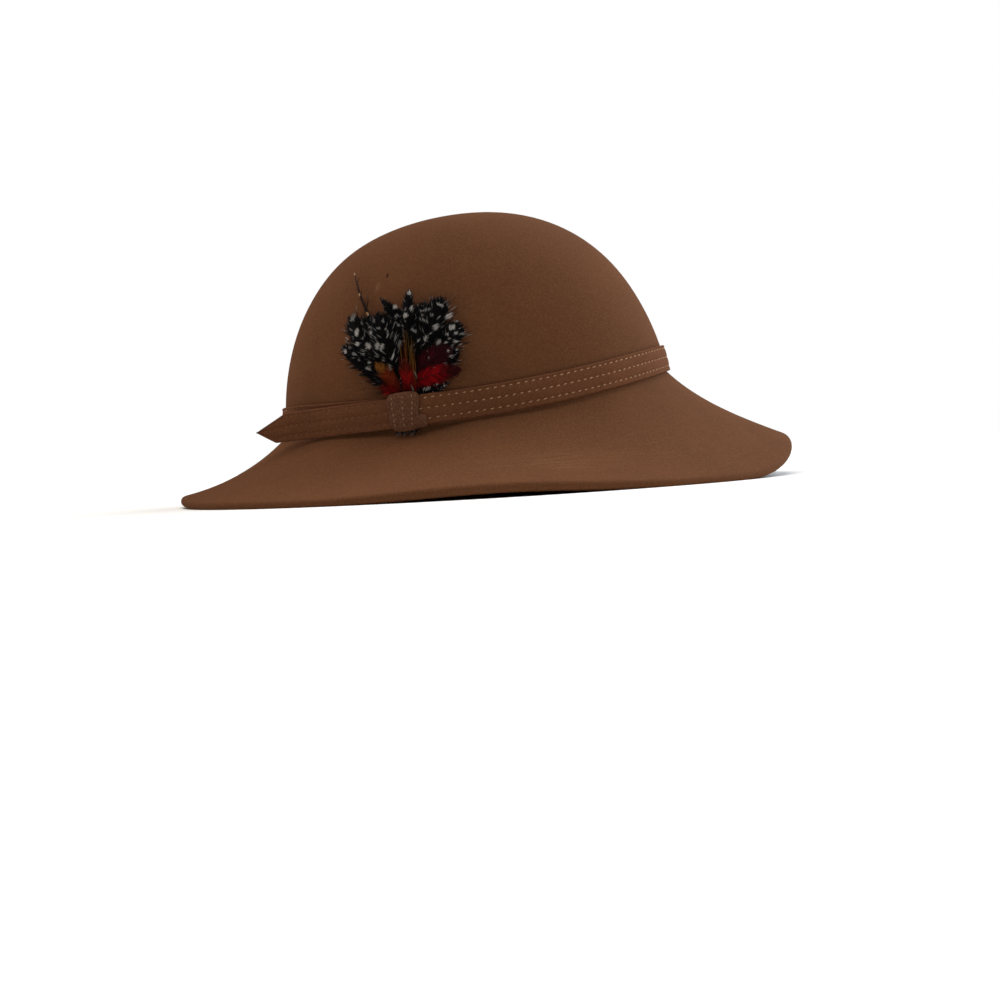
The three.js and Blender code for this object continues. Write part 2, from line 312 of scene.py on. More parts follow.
def bodyRows():  # from the crown's top over the edge, under the hem and up inside to the top again
    def spaced(key):
        return [i / bodyLook[key] for i in range(bodyLook[key])]
    wall = brim["wall"]
    doubled = 2 * wall
    rows = [lambda turn, k=k: underSkin(turn, k, 0) for k in spaced("crownRows")]
    rows += [lambda turn, k=k: underSkin(turn, 1 + k, 0) for k in spaced("brimRows")]
    rows += [lambda turn, k=k: rimPoint(turn, math.pi * k) for k in spaced("rimRows")]
    rows += [lambda turn, k=k: underSkin(turn, mix(2, hemStage(turn), k), doubled) for k in spaced("hemRows")]
    rows += [lambda turn: underSkin(turn, hemStage(turn), doubled)]
    rows += [lambda turn, k=k: underSkin(turn, mix(hemStage(turn), 1, k), wall) for k in spaced("underRows")]
    rows += [lambda turn, k=k: underSkin(turn, 1 - k, wall) for k in spaced("innerRows")]
    return rows + [lambda turn: underSkin(turn, 0, wall)]


def mapFelt(bm, placeOf, down):  # the felt's map, in millimetres round the hat and down from its top
    steps = bodyLook["steps"]
    felt = bm.loops.layers.uv.new("felt")
    for face in bm.faces:
        last = max(placeOf[loop.vert][0] for loop in face.loops)
        for loop in face.loops:
            step, row = placeOf[loop.vert]
            if last - step > steps / 2:
                step += steps  # the map's last strip ends where its first begins
            loop[felt].uv = (mapRound * step / steps, down[row])


def makeFeltBody(material):
    rows = bodyRows()
    steps = bodyLook["steps"]
    bm = bmesh.new()
    column = [bm.verts.new((row + 1, 0, row)) for row in range(len(rows))]
    edges = [bm.edges.new(pair) for pair in zip(column, column[1:])]
    whole = 2 * math.pi
    bmesh.ops.spin(bm, geom=column + edges, axis=(0, 0, 1), angle=whole, steps=steps, use_merge=True)
    hemEdge = sum(bodyLook[key] for key in ("crownRows", "brimRows", "rimRows", "hemRows"))
    for edge in bm.edges:
        row = round(edge.verts[0].co.z)
        edge.smooth = not (row == round(edge.verts[1].co.z) and row in (hemEdge, hemEdge + 1))
    side = [row(90) for row in rows]
    down = [0]
    for a, b in zip(side, side[1:]):
        down.append(down[-1] + (b - a).length)
    placeOf = {}
    for vert in bm.verts:
        step = round(math.atan2(vert.co.y, vert.co.x) / whole * steps) % steps
        placeOf[vert] = (step, round(vert.co.z))
    mapFelt(bm, placeOf, down)
    for vert, (step, row) in placeOf.items():
        point = rows[row](360 * step / steps)
        vert.co = Vector((point.x, point.y, max(0, point.z))) * mm  # pressed flat on the floor
    bmesh.ops.remove_doubles(bm, verts=bm.verts, dist=bodyLook["mergeWithin"] * mm)
    addPiece("feltBody", meshFrom(bm, "feltBody"), material, "felt_body")


# Strap: once round, through the loop and on to a pointed end
strap = {
    "width": 13.2, "thickness": 1.6, "lowEdge": 0.2, "seat": 0.3, "over": 2.4, "starts": 118, "climbs": 455,
    "onTop": 466, "leaves": 494, "tail": 52, "topPoint": 21, "lowPoint": 12, "pointAt": 0.46,
    "tipShare": 0.03, "sag": 4.2, "sagPower": 1.5, "turnSteps": 280, "tailSteps": 44, "faceSteps": 34,
    "backSteps": 6, "edgeSteps": 5, "edgeRound": 0.55, "seamRows": (0.19, 0.53, 0.87), "groove": 0.26,
    "grooveWidth": 0.75,
}
quillTurn = 111.9  # where the plume's quills and the loop sit
mmPerDegree = math.radians(1) * math.hypot(
    crown["halfLength"] * math.sin(math.radians(quillTurn)),
    crown["halfWidth"] * math.cos(math.radians(quillTurn)),
)


def strapSag(turn, beyond):
    past = max(0, turn - strap["climbs"]) * mmPerDegree + beyond
    whole = (strap["leaves"] - strap["climbs"]) * mmPerDegree + strap["tail"]
    return strap["sag"] * (past / whole) ** strap["sagPower"]


def strapPoint(turn, beyond, across, depth):  # also the way out and the way along
    rise = strap["lowEdge"] + across - strapSag(turn, beyond)
    off = mix(strap["seat"], strap["over"], ease(turn, strap["climbs"], strap["onTop"])) + depth
    point, out = onCrown(turn, rise, off)
    along = (onCrown(turn + nearby, rise, off)[0] - point).normalized()
    return point + along * beyond, out, along


def strapFace(across):  # how thick the strap is here, drawn in along its seams
    fromSeams = [(across - row * strap["width"]) / strap["grooveWidth"] for row in strap["seamRows"]]
    return strap["thickness"] - strap["groove"] * sum(math.exp(-(gap ** 2)) for gap in fromSeams)


def strapProfile():
    width = strap["width"]
    edge = strap["edgeRound"]
    half = strap["thickness"] / 2
    faceSteps, backSteps = strap["faceSteps"], strap["backSteps"]
    face = [mix(edge, width - edge, i / faceSteps) for i in range(faceSteps + 1)]
    turns = [math.pi * (i + 1) / (strap["edgeSteps"] + 1) for i in range(strap["edgeSteps"])]
    outline = [(a, strapFace(a)) for a in face]
    outline += [(width - edge + edge * math.sin(t), half + half * math.cos(t)) for t in turns]
    outline += [(mix(width - edge, edge, i / backSteps), 0) for i in range(backSteps + 1)]
    return outline + [(edge - edge * math.sin(t), half - half * math.cos(t)) for t in turns]


def makeStrap(material):
    turnSteps, tailSteps = strap["turnSteps"], strap["tailSteps"]
    bm = bmesh.new()
    ring = closedRing(bm, [(x, y, 0) for x, y in strapProfile()])
    # a spin without an angle carries the profile along Z, one unit a step
    bmesh.ops.spin(bm, geom=ring, axis=(0, 0, 1), dvec=(0, 0, 1), angle=0, steps=turnSteps + tailSteps)
    bmesh.ops.holes_fill(bm, edges=[edge for edge in bm.edges if edge.is_boundary], sides=0)
    middle = strap["pointAt"] * strap["width"]
    for vert in bm.verts:
        step = vert.co.z
        turn = mix(strap["starts"], strap["leaves"], min(1, step / turnSteps))
        beyond = max(0, step - turnSteps) / tailSteps * strap["tail"]
        cut = strap["topPoint"] if vert.co.x > middle else strap["lowPoint"]
        narrow = min(1, max(strap["tipShare"], (strap["tail"] - beyond) / cut))
        across = mix(middle, vert.co.x, narrow)
        vert.co = strapPoint(turn, beyond, across, vert.co.y)[0] * mm
    addPiece("strapBand", meshFrom(bm, "strapBand"), material, "strap_band")


# Stitches: short dashes of thick thread, sunk in the strap's seams
stitch = {
    "pitch": 3.5, "length": 1.7, "lengthVaries": (0.88, 1.08), "width": 0.5, "height": 0.24, "proud": 0.01,
    "lean": 10, "leanVaries": 4, "endsBefore": 18, "underTail": 146, "clearOfTail": 162, "behindLoop": 4.5,
    "sides": 6, "rings": 5,
    "turnStep": 0.1, "tailStep": 0.17,  # how finely the seam is followed, in degrees and millimetres
}


def addStitch(bm, point, out, along, length, width, height, lean):
    across = out.cross(along).normalized()
    axes = Matrix((along, across, out)).transposed().to_4x4()
    turned = axes @ Matrix.Rotation(math.radians(lean), 4, "Z")
    size = Matrix.Diagonal((length * mm / 2, width * mm / 2, height * mm / 2, 1))
    laid = Matrix.Rotation(math.pi / 2, 4, "Y")
    matrix = Matrix.Translation(point * mm) @ turned @ size @ laid
    bmesh.ops.create_uvsphere(
        bm, u_segments=stitch["sides"], v_segments=stitch["rings"], radius=1, matrix=matrix,
    )


def makeStrapStitches(name, material, first, last, rows):  # between two turns; past strap["leaves"] is the tail
    bm = bmesh.new()
    for row in rows:
        across = row * strap["width"]
        depth = strapFace(across) + stitch["proud"]
        turn, beyond, before = first, 0, None
        travelled = rng.uniform(0, stitch["pitch"])
        while turn < last and beyond < strap["tail"] - stitch["endsBefore"]:
            point, out, along = strapPoint(turn, beyond, across, depth)
            if before is not None:
                travelled += (point - before).length
            before = point
            if travelled >= stitch["pitch"]:
                travelled -= stitch["pitch"]
                lean = stitch["lean"] + rng.uniform(-stitch["leanVaries"], stitch["leanVaries"])
                length = stitch["length"] * rng.uniform(*stitch["lengthVaries"])
                addStitch(bm, point, out, along, length, stitch["width"], stitch["height"], lean)
            if turn < strap["leaves"]:
                turn += stitch["turnStep"]
            else:
                beyond += stitch["tailStep"]
    addPiece(name, meshFrom(bm, name), material)


# Loop that keeps the strap: a soft folded strip of felt, narrower below, with its end lapped low in front
keeper = {
    "width": 15, "wall": 1.6, "backWall": 0.8, "gap": 0.3, "squareness": 4.5, "lowWidth": 0.82,
    "cornerDraw": 0.2 / 3, "cornerPower": 6, "wallEase": 0.5, "lean": -0.9, "leanLow": 1.4,
    "leanHigh": 0.6, "loopSteps": 96, "roundSteps": 52,
    "edgeSquare": 5, "faceSquare": 2.4, "bulge": 0.3,
    "faceFrom": 0.55, "frontFrom": 0.1, "frontTo": 0.6,  # where the face swells, in depth and round the loop
    "seams": (-4.9, 0.2, 4.6), "seamDepth": 0.13, "seamWidth": 0.55,
    "lapAt": (6.0, 2.0, 4.2), "lapSize": (5.0, 5.2, 3.2), "lapCuts": 5, "lapBall": 0.62, "lapSoft": 0.72,
}
keeperStitch = {
    "count": 6, "low": -0.75, "high": 0.8, "place": (0.3, 0.7), "proud": 0.02, "length": (0.9, 1.5),
    "width": 0.42, "height": 0.34, "leanVaries": 14, "ahead": 0.04,
}


def signedPower(value, power):
    return math.copysign(abs(value) ** power, value)


def keeperPoint(along, angle, depth):  # along the strap towards the front; depth 0 inside and 1 outside
    front = ease(math.cos(angle), -keeper["wallEase"], keeper["wallEase"])
    wall = mix(keeper["backWall"], keeper["wall"], front)
    reach = strap["thickness"] / 2 + keeper["gap"] + wall * depth
    height = strap["width"] / 2 + keeper["gap"] + keeper["wall"] * depth
    power = 2 / keeper["squareness"]
    off = strap["over"] + strap["thickness"] / 2 + signedPower(math.cos(angle), power) * reach
    across = strap["width"] / 2 + signedPower(math.sin(angle), power) * height
    share = ease(across, 0, strap["width"])
    fromMiddle = abs(2 * across / strap["width"] - 1)
    corner = 1 - keeper["cornerDraw"] * fromMiddle ** keeper["cornerPower"]
    lean = keeper["lean"] * mix(keeper["leanLow"], keeper["leanHigh"], share)
    along = along * corner * mix(keeper["lowWidth"], 1, share) + lean
    turn = quillTurn - along / mmPerDegree
    return onCrown(turn, strap["lowEdge"] + across - strapSag(turn + 360, 0), off)


def keeperFace(along):  # how deep the strip's face is, swollen in the middle and drawn in at its seams
    drawn = sum(math.exp(-(((along - seam) / keeper["seamWidth"]) ** 2)) for seam in keeper["seams"])
    return keeper["bulge"] * (1 - (2 * along / keeper["width"]) ** 2) - keeper["seamDepth"] * drawn


def makeKeeper(material):
    hub = 9  # the profile is spun well clear of the axis, then laid round the strap
    outline = []
    for i in range(keeper["roundSteps"]):
        angle = 2 * math.pi * i / keeper["roundSteps"]
        along = keeper["width"] / 2 * signedPower(math.cos(angle), 2 / keeper["edgeSquare"])
        depth = 0.5 + 0.5 * signedPower(math.sin(angle), 2 / keeper["faceSquare"])
        outline.append((hub + depth, 0, along))
    bm = bmesh.new()
    bmesh.ops.spin(
        bm, geom=closedRing(bm, outline), axis=(0, 0, 1), angle=2 * math.pi, steps=keeper["loopSteps"],
        use_merge=True,
    )
    faceFrom, frontFrom, frontTo = keeper["faceFrom"], keeper["frontFrom"], keeper["frontTo"]
    for vert in bm.verts:
        depth = math.hypot(vert.co.x, vert.co.y) - hub
        angle = math.atan2(vert.co.y, vert.co.x)
        front = math.cos(angle)
        if depth > faceFrom and front > frontFrom:
            depth += keeperFace(vert.co.z) * ease(depth, faceFrom, 1) * ease(front, frontFrom, frontTo)
        vert.co = keeperPoint(vert.co.z, angle, depth)[0] * mm
    addPiece("keeperLoop", meshFrom(bm, "keeperLoop"), material, "strap_keeper")


def makeKeeperLap(material):
    bm = bmesh.new()
    bmesh.ops.create_cube(bm, size=1)
    bmesh.ops.subdivide_edges(bm, edges=bm.edges, cuts=keeper["lapCuts"], use_grid_fill=True)
    middle = Vector(keeper["lapAt"])
    for vert in bm.verts:
        ball = vert.co.normalized() * keeper["lapBall"]
        soft = vert.co.lerp(ball, keeper["lapSoft"])
        place = middle + Vector([a * b for a, b in zip(soft, keeper["lapSize"])])
        turn = quillTurn - place.x / mmPerDegree
        vert.co = onCrown(turn, place.y - strapSag(turn + 360, 0), place.z)[0] * mm
    addPiece("keeperLap", meshFrom(bm, "keeperLap"), material)


def makeKeeperStitches(material):
    bm = bmesh.new()
    count = keeperStitch["count"]
    for along in keeper["seams"]:
        for i in range(count):
            share = (i + rng.uniform(*keeperStitch["place"])) / count
            sine = mix(keeperStitch["low"], keeperStitch["high"], share)
            angle = math.asin(signedPower(sine, keeper["squareness"] / 2))
            depth = 1 + keeperStitch["proud"] + keeperFace(along)
            point, out = keeperPoint(along, angle, depth)
            ahead = (keeperPoint(along, angle + keeperStitch["ahead"], depth)[0] - point).normalized()
            length = rng.uniform(*keeperStitch["length"])
            lean = rng.uniform(-keeperStitch["leanVaries"], keeperStitch["leanVaries"])
            addStitch(bm, point, out, ahead, length, keeperStitch["width"], keeperStitch["height"], lean)
    addPiece("keeperStitches", meshFrom(bm, "keeperStitches"), material)


# Stitching thread: spun cotton, dull, paler than the felt and soiled in places
threadLook = {"soil": 9, "twist": 0.3, "bump": 0.4, "bumpDepth": 0.1, "roughness": 0.8, "specular": 0.1}


def cottonThread(name, colour, shade):
    material, tree = newMaterial(name)
    place = addNode(tree, "TexCoord").outputs["Object"]
    soil = addNode(tree, "TexNoise", {"Vector": place, "Scale": 1 / (threadLook["soil"] * mm), "Detail": 2})
    tone = addNode(tree, "Mix", {
        "Factor": soil.outputs["Fac"], colourA: linear(shade), colourB: linear(colour),
    }, data_type="RGBA")
    twist = addNode(tree, "TexNoise", {"Vector": place, "Scale": 1 / (threadLook["twist"] * mm), "Detail": 1})
    bump = addNode(tree, "Bump", {
        "Height": twist.outputs["Fac"], "Strength": threadLook["bump"],
        "Distance": threadLook["bumpDepth"] * mm,
    })
    finishMaterial(tree, addNode(tree, "BsdfPrincipled", {
        "Base Color": tone.outputs[mixed], "Normal": bump.outputs[0],
        "Roughness": threadLook["roughness"], "Specular IOR Level": threadLook["specular"],
    }))
    return material


# Plume: places are millimetres along the crown from the quills, towards the front, and up from its line
# A feather lies from its root to its tip, lifting off the crown on the way; a root of None is behind the loop
featherColumns = ("kind", "root", "tip", "width", "base", "lift", "widest", "bend", "loose", "taper")
featherRows = [
    ("guinea", None, (-31, 37.8), 12, 0, 3.0, 0.70, -2.4, 1.0, 0.5),
    ("guinea", None, (-27.5, 50.6), 15, 0, 4.0, 0.78, -2, 0.9, 0.5),
    ("guinea", None, (-19.5, 49.6), 13, 0, 3.5, 0.80, -1.6, 1.0, 0.5),
    ("guinea", None, (-10, 50.2), 16, 0, 5.0, 0.78, -1, 0.8, 0.5),
    ("guinea", None, (6.2, 59), 8.5, 0, 4.4, 0.66, 0, 0.9, 0.5),
    ("guinea", (6.5, 42.5), (-8.8, 56.4), 9.5, 0.6, 5.2, 0.36, 0.6, 0.5, 1.15),
    ("guinea", None, (13, 53), 15, 0, 3.4, 0.78, 0.6, 0.7, 0.5),
    ("guinea", None, (22.5, 54), 18, 0, 3.9, 0.78, 2, 0.7, 0.5),
    ("guinea", None, (29.5, 41.5), 16, 0, 3.3, 0.76, 2, 1.0, 0.5),
    ("guinea", None, (26.5, 30), 11, 0, 2.8, 0.70, 1, 0.9, 0.5),
    ("guinea", None, (20.5, 16.6), 4.4, 0.4, 2.4, 0.45, -0.8, 1.3, 0.5),
    ("guinea", (-2, 22), (-0.6, 49.5), 11, 0.5, 2.6, 0.7, 0, 0.6, 0.5),
    ("wine", (2, 21), (23.5, 30.5), 11.5, 0.7, 4.6, 0.72, 0.6, 0.5, 0.5),
    ("red", (1.5, 19.4), (26.5, 20.6), 8.5, 0.75, 6.0, 0.62, 0.3, 0.4, 0.5),
    ("orange", None, (-10.5, 28), 6.5, 0.2, 5.6, 0.60, -1, 1.2, 0.5),
    ("hackle", None, (-11, 17.5), 6, 0.3, 4.4, 0.60, 0, 1.2, 0.5),
    ("hackle", (2.3, 13.5), (2.7, 28), 6.4, 0.7, 5.6, 0.66, 0, 0.8, 0.5),
]
feathers = [dict(zip(featherColumns, row)) for row in featherRows]
vane = {
    "rootUp": 14.6, "rootSpread": 0.26, "rootReach": 6, "leastWidth": 0.5, "thickness": 0.25,
    "seat": 0.65, "leastSeat": 0.45, "cup": 1.0, "cupLimit": 1.5, "liftFrom": 0.05, "liftTo": 0.8,
    "opensFrom": -0.08, "openShare": 0.5, "openPast": 0.1, "barbRun": 0.9,
    # its close-knit part, under the barbs
    "alongSteps": 46, "acrossSteps": 20, "starts": 0.01, "covers": 0.95, "backing": 0.66, "backingMark": 0.7,
    "shaft": 0.4, "shaftColour": "#1d120e", "shaftEnds": 0.97, "shaftSteps": 14,
    "shaftRaised": 0.3, "shaftThins": 0.3,
}
dyes = {  # colour at the quill, half way and at the tip
    "guinea": ("#080607", "#060506", "#070608"), "wine": ("#1a060a", "#35070f", "#2c080e"),
    "red": ("#6a0409", "#7e030b", "#32070a"), "gold": ("#5e0a06", "#6e3210", "#6c4e1e"),
    "russet": ("#5e0a06", "#6a1a0a", "#5c2610"), "orange": ("#5a0c08", "#6e240a", "#6e4415"),
    "hackle": ("#5e0a08", "#740b08", "#4a140a"), "quill": ("#1c0d06", "#26110a", "#3a1e0e"),
    "down": ("#0c0a0a", "#3a3633", "#6a645e"), "pale": ("#6f675e", "#9a9288", "#8a8278"),
}
paleSpots = [  # along, up, length, width, lean in degrees, whiteness
    (-21.9, 43.1, 3.5, 3.2, 70, 0.9), (-13.9, 42.0, 2.2, 2.1, 0, 0.8), (-28.4, 40.9, 2.9, 2.4, 50, 0.8),
    (-21.8, 37.9, 2.4, 2.2, 0, 0.9), (-15.9, 36.6, 3.5, 2.9, 0, 0.9), (-10.6, 35.8, 3.7, 2.2, 65, 0.8),
    (-8.3, 35.1, 4.0, 1.6, 70, 0.75), (-29.2, 35.5, 2.2, 1.9, 0, 0.9), (-25.2, 49.7, 3.7, 2.9, 60, 0.5),
    (-17.0, 50.7, 1.9, 1.8, 0, 0.6), (-14.3, 44.3, 3.5, 1.0, -10, 0.6), (-0.6, 44.9, 3.8, 1.0, -45, 0.65),
    (-5.6, 42.2, 3.0, 0.9, -25, 0.45), (-4.9, 40.1, 4.0, 0.8, 78, 0.6), (-1.2, 39.2, 4.8, 0.9, 62, 0.7),
    (-2.9, 40.0, 3.5, 0.7, 70, 0.5), (0.3, 35.9, 4.0, 1.4, 70, 0.6), (-3.8, 30.9, 4.3, 1.4, 62, 0.85),
    (-6.0, 26.4, 2.7, 1.8, 75, 0.7), (-16.2, 29.5, 2.1, 1.4, 0, 0.7), (-16.8, 27.2, 3.5, 1.8, -30, 0.6),
    (-23.7, 33.8, 2.9, 1.2, -25, 0.6), (-20.9, 31.1, 2.1, 0.8, -25, 0.45), (-15.7, 31.8, 1.8, 0.8, -10, 0.4),
    (-26.1, 37.0, 1.3, 1.0, 0, 0.45), (-1.0, 52.5, 3.0, 1.9, -10, 0.95), (-1.0, 48.6, 1.9, 1.8, 0, 0.6),
    (4.1, 47.8, 2.7, 2.6, 0, 0.85), (7.1, 50.7, 2.2, 1.9, 0, 0.8), (6.2, 57.6, 2.1, 2.4, 0, 0.85),
    (7.4, 41.1, 4.0, 1.0, -15, 0.65), (4.0, 50.6, 2.1, 0.8, 50, 0.5), (21.0, 50.7, 4.3, 1.2, -30, 0.75),
    (24.4, 45.1, 3.8, 2.9, 25, 0.95), (25.0, 40.2, 3.4, 2.9, 10, 0.85), (13.6, 49.3, 7.2, 0.9, 0, 0.55),
    (12.3, 44.9, 5.6, 0.8, -30, 0.6), (17.7, 41.2, 3.2, 2.7, -55, 0.65), (12.6, 37.1, 3.2, 2.1, 50, 0.65),
    (18.1, 34.5, 3.4, 2.1, 50, 0.65), (22.5, 37.4, 1.4, 1.3, 0, 0.7), (26.8, 37.5, 1.9, 1.6, 0, 0.8),
    (29.1, 36.7, 3.2, 0.7, -5, 0.5), (25.8, 33.8, 1.9, 1.6, 0, 0.9), (21.5, 33.7, 1.6, 1.4, 0, 0.9),
    (24.0, 31.8, 1.8, 0.8, 60, 0.6), (25.7, 30.4, 1.3, 1.1, 0, 0.8), (22.1, 29.8, 1.4, 1.1, 0, 0.9),
    (23.2, 27.1, 1.6, 1.2, 0, 0.7), (20.2, 24.4, 1.9, 1.1, 70, 0.7), (15.8, 23.1, 1.4, 1.1, 0, 0.8),
    (16.5, 25.8, 0.8, 0.7, 0, 0.5), (13.3, 30.8, 0.9, 0.8, 0, 0.5), (13.0, 28.0, 0.9, 0.8, 0, 0.5),
    (9.1, 36.6, 1.6, 1.0, -10, 0.6), (25.0, 49.4, 2.4, 1.0, -50, 0.5), (12.1, 47.2, 2.4, 0.7, 15, 0.4),
    (8.7, 15.5, 3.4, 0.7, 58, 0.8), (9.9, 15.5, 3.4, 0.7, 58, 0.8), (11.0, 15.5, 3.4, 0.7, 58, 0.8),
    (15.3, 16.8, 1.4, 1.1, 0, 0.6), (18.2, 15.6, 1.9, 1.0, 60, 0.6),
    (-18.7, 40.3, 1.3, 0.8, 10, 0.6), (-11.5, 39.5, 1.4, 0.7, -30, 0.6),
    (-9.5, 43.5, 2.4, 0.8, -20, 0.6), (-12.0, 46.5, 1.6, 0.8, 10, 0.5), (-7.0, 46.0, 2.2, 0.8, -35, 0.55),
    (-19.5, 46.8, 1.5, 1.0, 0, 0.5), (-24.5, 40.6, 1.2, 0.9, 0, 0.5), (-11.8, 31.8, 1.4, 1.0, 20, 0.5),
    (-18.6, 33.4, 1.5, 1.1, -10, 0.6), (-8.5, 30.0, 2.4, 0.9, 65, 0.5), (16.4, 46.6, 2.0, 0.8, -20, 0.5),
    (19.6, 45.2, 1.6, 1.2, 20, 0.55), (20.6, 41.0, 1.4, 1.0, 0, 0.5), (15.2, 38.6, 1.8, 0.9, 30, 0.5),
    (27.4, 42.6, 1.5, 1.1, 0, 0.6), (23.3, 35.4, 1.1, 0.9, 0, 0.6), (27.6, 32.2, 1.2, 0.9, 0, 0.6),
]
spotted = ("guinea", "wine")
spotEdge = {"shrink": 2.35, "from": 0.8, "to": 1.25}
dyeBlend = {"low": (0.05, 0.5), "high": (0.55, 0.85)}  # where along it a strand goes from colour to colour


def rootOf(feather):
    reach = vane["rootReach"]
    spread = max(-reach, min(reach, vane["rootSpread"] * feather["tip"][0]))
    return feather["root"] or (spread, vane["rootUp"])


def reachOf(feather):
    root = rootOf(feather)
    return math.hypot(feather["tip"][0] - root[0], feather["tip"][1] - root[1])


def vaneWidth(feather, along):
    widest = feather["widest"]
    opened = vane["openShare"] * widest + vane["openPast"]
    opening = mix(feather["base"], 1, ease(along, vane["opensFrom"], opened))
    closing = max(0, 1 - (max(0, along - widest) / (1 - widest)) ** 2) ** feather["taper"]
    return max(vane["leastWidth"], feather["width"] * opening * closing)


def onPlume(side, up, off):
    point, out = onCrown(quillTurn - side / mmPerDegree, up, off)
    return {"point": point, "out": out, "side": side, "up": up}


def featherPlace(feather, along, aside, raised=0, stray=(0, 0)):
    root, tip, reach = rootOf(feather), feather["tip"], reachOf(feather)
    outSide, outUp = (tip[0] - root[0]) / reach, (tip[1] - root[1]) / reach
    bent = aside + feather["bend"] * 4 * along * (1 - along)
    side = mix(root[0], tip[0], along) - outUp * bent
    up = mix(root[1], tip[1], along) + outSide * bent
    cup = vane["cup"] * min(vane["cupLimit"], (2 * aside / feather["width"]) ** 2) * along
    lift = feather["lift"] * ease(along, vane["liftFrom"], vane["liftTo"])
    off = vane["seat"] + lift - cup + raised
    place = onPlume(side, up, max(vane["leastSeat"], off))
    # where its barb leaves the shaft, and how far out it is
    place["vane"] = (along * reach - vane["barbRun"] * abs(aside), aside)
    place["dye"] = dyeAt(feather["kind"], along)
    place["mark"] = spotAt(side + stray[0], up + stray[1]) if feather["kind"] in spotted else 0
    return place


def dyeAt(kind, along):
    low, middle, high = [linear(c) for c in dyes[kind]]
    if along < 0.5:
        return [mix(a, b, ease(along, *dyeBlend["low"])) for a, b in zip(low, middle)]
    return [mix(a, b, ease(along, *dyeBlend["high"])) for a, b in zip(middle, high)]


def spotAt(side, up):
    white = 0
    shrink = spotEdge["shrink"]
    for s, u, length, width, lean, whiteness in paleSpots:
        if abs(side - s) + abs(up - u) < length + 0.5:
            turn = math.radians(lean)
            x = (side - s) * math.cos(turn) + (up - u) * math.sin(turn)
            y = (up - u) * math.cos(turn) - (side - s) * math.sin(turn)
            far = (shrink * x / length) ** 2 + (shrink * y / width) ** 2
            white = max(white, whiteness * (1 - ease(far, spotEdge["from"], spotEdge["to"])))
    return white


def makeVanes(name, kinds, material):
    bm = bmesh.new()
    pattern = bm.loops.layers.uv.new("vane")
    dye = bm.verts.layers.float_color.new("dye")
    mark = bm.verts.layers.float.new("mark")
    for feather in feathers:
        if feather["kind"] not in kinds:
            continue
        grid = bmesh.ops.create_grid(
            bm, x_segments=vane["alongSteps"], y_segments=vane["acrossSteps"], size=0.5,
        )
        uvs = {}
        for vert in grid["verts"]:
            along = vane["starts"] + vane["covers"] * (vert.co.x + 0.5)
            place = featherPlace(feather, along, vert.co.y * vaneWidth(feather, along) * vane["backing"])
            uvs[vert] = place["vane"]
            vert[dye] = place["dye"]
            vert[mark] = vane["backingMark"] * place["mark"]
            vert.co = place["point"] * mm
        faces = list({face for vert in grid["verts"] for face in vert.link_faces})
        for face in faces:
            for loop in face.loops:
                loop[pattern].uv = uvs[loop.vert]
        bmesh.ops.recalc_face_normals(bm, faces=faces)
        bmesh.ops.solidify(bm, geom=faces, thickness=vane["thickness"] * mm)
    addPiece(name, meshFrom(bm, name), material, "feather_plume")


# Strands are gathered as arrays, because there are thousands of them
strandCorners = ((-0.5, -0.4), (0.5, -0.4), (0, 0.6))  # shares of its width across and its depth off the crown


def newStrands():
    return {"points": [], "faces": [], "vane": [], "dye": [], "mark": []}


def addStrand(strands, places, width, depth, taper):  # three-sided, flat on the crown, thinning to its end
    first, count = len(strands["points"]), len(places)
    for i, place in enumerate(places):
        ahead = (places[min(count - 1, i + 1)]["point"] - places[max(0, i - 1)]["point"]).normalized()
        flat = ahead.cross(place["out"]).normalized()
        size = mix(1, taper, (i / (count - 1)) ** 2) * mm
        for across, raised in strandCorners:
            aside = flat * across * width + place["out"] * raised * depth
            strands["points"].append(place["point"] * mm + aside * size)
        for key in ("vane", "dye", "mark"):
            strands[key] += [place[key]] * 3
    for i in range(first, first + 3 * (count - 1), 3):
        strands["faces"] += [(i, i + 1, i + 4, i + 3), (i + 1, i + 2, i + 5, i + 4), (i + 2, i, i + 3, i + 5)]
    end = first + 3 * (count - 1)
    strands["faces"] += [(first + 2, first + 1, first), (end, end + 1, end + 2)]


def addStrandPiece(name, strands, material, replaced=None):
    mesh = bpy.data.meshes.new(name)
    mesh.from_pydata(strands["points"], [], strands["faces"])
    pattern = mesh.uv_layers.new(name="vane")
    for loop in mesh.loops:
        pattern.data[loop.index].uv = strands["vane"][loop.vertex_index]
    dye = mesh.attributes.new("dye", "FLOAT_COLOR", "POINT")
    dye.data.foreach_set("color", [c for colour in strands["dye"] for c in colour])
    mark = mesh.attributes.new("mark", "FLOAT", "POINT")
    mark.data.foreach_set("value", strands["mark"])
    bm = bmesh.new()
    bm.from_mesh(mesh)
    bmesh.ops.recalc_face_normals(bm, faces=bm.faces)
    addPiece(name, meshFrom(bm, name), material, replaced)


# Barbs: fine strands from the shaft to the vane's edge, clinging together in clumps
barb = {
    "spacing": 0.4, "steps": 12, "width": 0.4, "depth": 0.16, "thins": 0.3, "clump": 6, "lastStart": 0.985,
    "slantLow": 48, "slantHigh": 20, "slantVaries": 2, "parting": 7,  # degrees off the shaft
    "shortest": 0.4, "reachVaries": (0.86, 1.08), "strays": 0.14, "strayReach": (1.1, 1.3), "halvings": 8,
    "curl": (-0.5, 0.9), "bow": (0.82, 0.22), "raised": 0.18, "spotStray": 0.22,
    "shades": (0.6, 1.5), "furthest": 1.05,
    "fleckAt": (0.3, 3.5), "fleck": 0.42, "fleckFrom": 0.05, "fleckTo": 0.14, "noFleck": 9,
}


